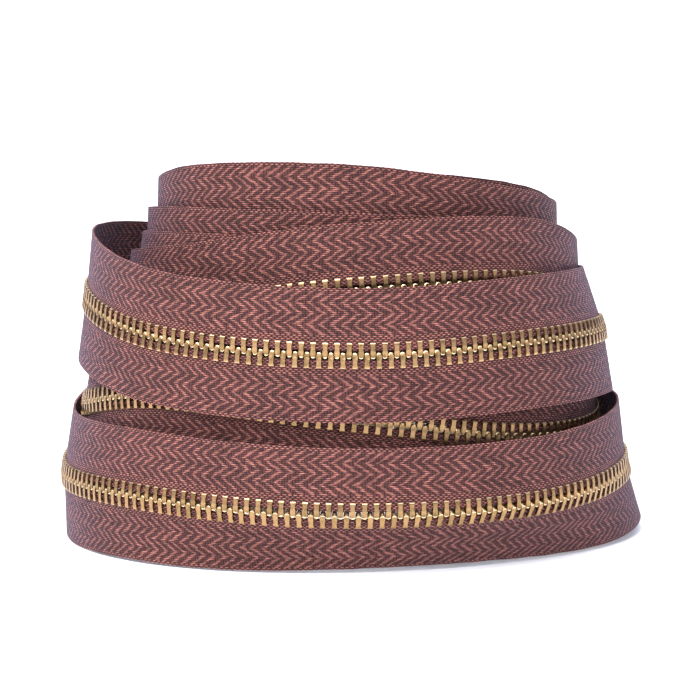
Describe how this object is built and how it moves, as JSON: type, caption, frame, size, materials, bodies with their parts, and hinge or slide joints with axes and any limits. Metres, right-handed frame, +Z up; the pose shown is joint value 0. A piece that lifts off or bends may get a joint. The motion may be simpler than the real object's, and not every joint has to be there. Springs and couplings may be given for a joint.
{
  "type": "zipper chain roll",
  "caption": "Standing roll of metal zipper chain: two woven herringbone tapes with bead cords and clamped brass teeth, wound in a spiral and drawn up into a tower.",
  "frame": {"origin": "on the table, in the middle of the roll", "axes": "+Z up along the axis of the spiral, front of the roll towards -Y, +X to the right seen from the front"},
  "size_m": [0.146, 0.1465, 0.0965],
  "materials": {
    "tape": "woven herringbone",
    "cord": "twisted",
    "teeth": "bright, lightly worn"
  },
  "bodies": {
    "outer_turn": {"turn_8_upper_tape": "tape", "turn_8_upper_cord": "cord", "turn_8_upper_teeth": "teeth", "turn_8_lower_tape": "tape", "turn_8_lower_cord": "cord", "turn_8_lower_teeth": "teeth"},
    "seventh_turn": {"turn_7_upper_tape": "tape", "turn_7_upper_cord": "cord", "turn_7_upper_teeth": "teeth", "turn_7_lower_tape": "tape", "turn_7_lower_cord": "cord", "turn_7_lower_teeth": "teeth"},
    "sixth_turn": {"turn_6_upper_tape": "tape", "turn_6_upper_cord": "cord", "turn_6_upper_teeth": "teeth", "turn_6_lower_tape": "tape", "turn_6_lower_cord": "cord", "turn_6_lower_teeth": "teeth"},
    "upper_turns": {"turn_5_upper_tape": "tape", "turn_5_upper_cord": "cord", "turn_5_upper_teeth": "teeth", "turn_5_lower_tape": "tape", "turn_5_lower_cord": "cord", "turn_5_lower_teeth": "teeth", "turn_4_upper_tape": "tape", "turn_4_upper_cord": "cord", "turn_4_upper_teeth": "teeth", "turn_4_lower_tape": "tape", "turn_4_lower_cord": "cord", "turn_4_lower_teeth": "teeth", "turn_3_upper_tape": "tape", "turn_3_upper_cord": "cord", "turn_3_upper_teeth": "teeth", "turn_3_lower_tape": "tape", "turn_3_lower_cord": "cord", "turn_3_lower_teeth": "teeth"},
    "innermost_turns": {"turn_2_upper_tape": "tape", "turn_2_upper_cord": "cord", "turn_2_upper_teeth": "teeth", "turn_2_lower_tape": "tape", "turn_2_lower_cord": "cord", "turn_2_lower_teeth": "teeth", "turn_1_upper_tape": "tape", "turn_1_upper_cord": "cord", "turn_1_upper_teeth": "teeth", "turn_1_lower_tape": "tape", "turn_1_lower_cord": "cord", "turn_1_lower_teeth": "teeth"},
    "outer_tail": {"outer_end_upper_tape": "tape", "outer_end_upper_cord": "cord", "outer_end_upper_teeth": "teeth", "outer_end_lower_tape": "tape", "outer_end_lower_cord": "cord", "outer_end_lower_teeth": "teeth"},
    "inner_tail": {"inner_end_upper_tape": "tape", "inner_end_upper_cord": "cord", "inner_end_upper_teeth": "teeth", "inner_end_lower_tape": "tape", "inner_end_lower_cord": "cord", "inner_end_lower_teeth": "teeth"}
  },
  "joints": [
    {"name": "seventh_turn_slide", "type": "slide", "parent": "outer_turn", "child": "seventh_turn", "axis": [0, 0, 1], "range_m": [-0.004, 0.008]},
    {"name": "sixth_turn_slide", "type": "slide", "parent": "seventh_turn", "child": "sixth_turn", "axis": [0, 0, 1], "range_m": [-0.007, 0.001]},
    {"name": "upper_turns_slide", "type": "slide", "parent": "sixth_turn", "child": "upper_turns", "axis": [0, 0, 1], "range_m": [-0.007, 0.002]},
    {"name": "innermost_turns_slide", "type": "slide", "parent": "upper_turns", "child": "innermost_turns", "axis": [0, 0, 1], "range_m": [0, 0.014]},
    {"name": "outer_tail_bend", "type": "hinge", "parent": "outer_turn", "child": "outer_tail", "pos_m": [0.05339, 0.05179, 0.01764], "axis": [0, 0, -1], "range_deg": [0, 35]},
    {"name": "inner_tail_bend", "type": "hinge", "parent": "innermost_turns", "child": "inner_tail", "pos_m": [-0.038, 0.02066, 0.07034], "axis": [0, 0, -1], "range_deg": [0, 30]}
  ]
}
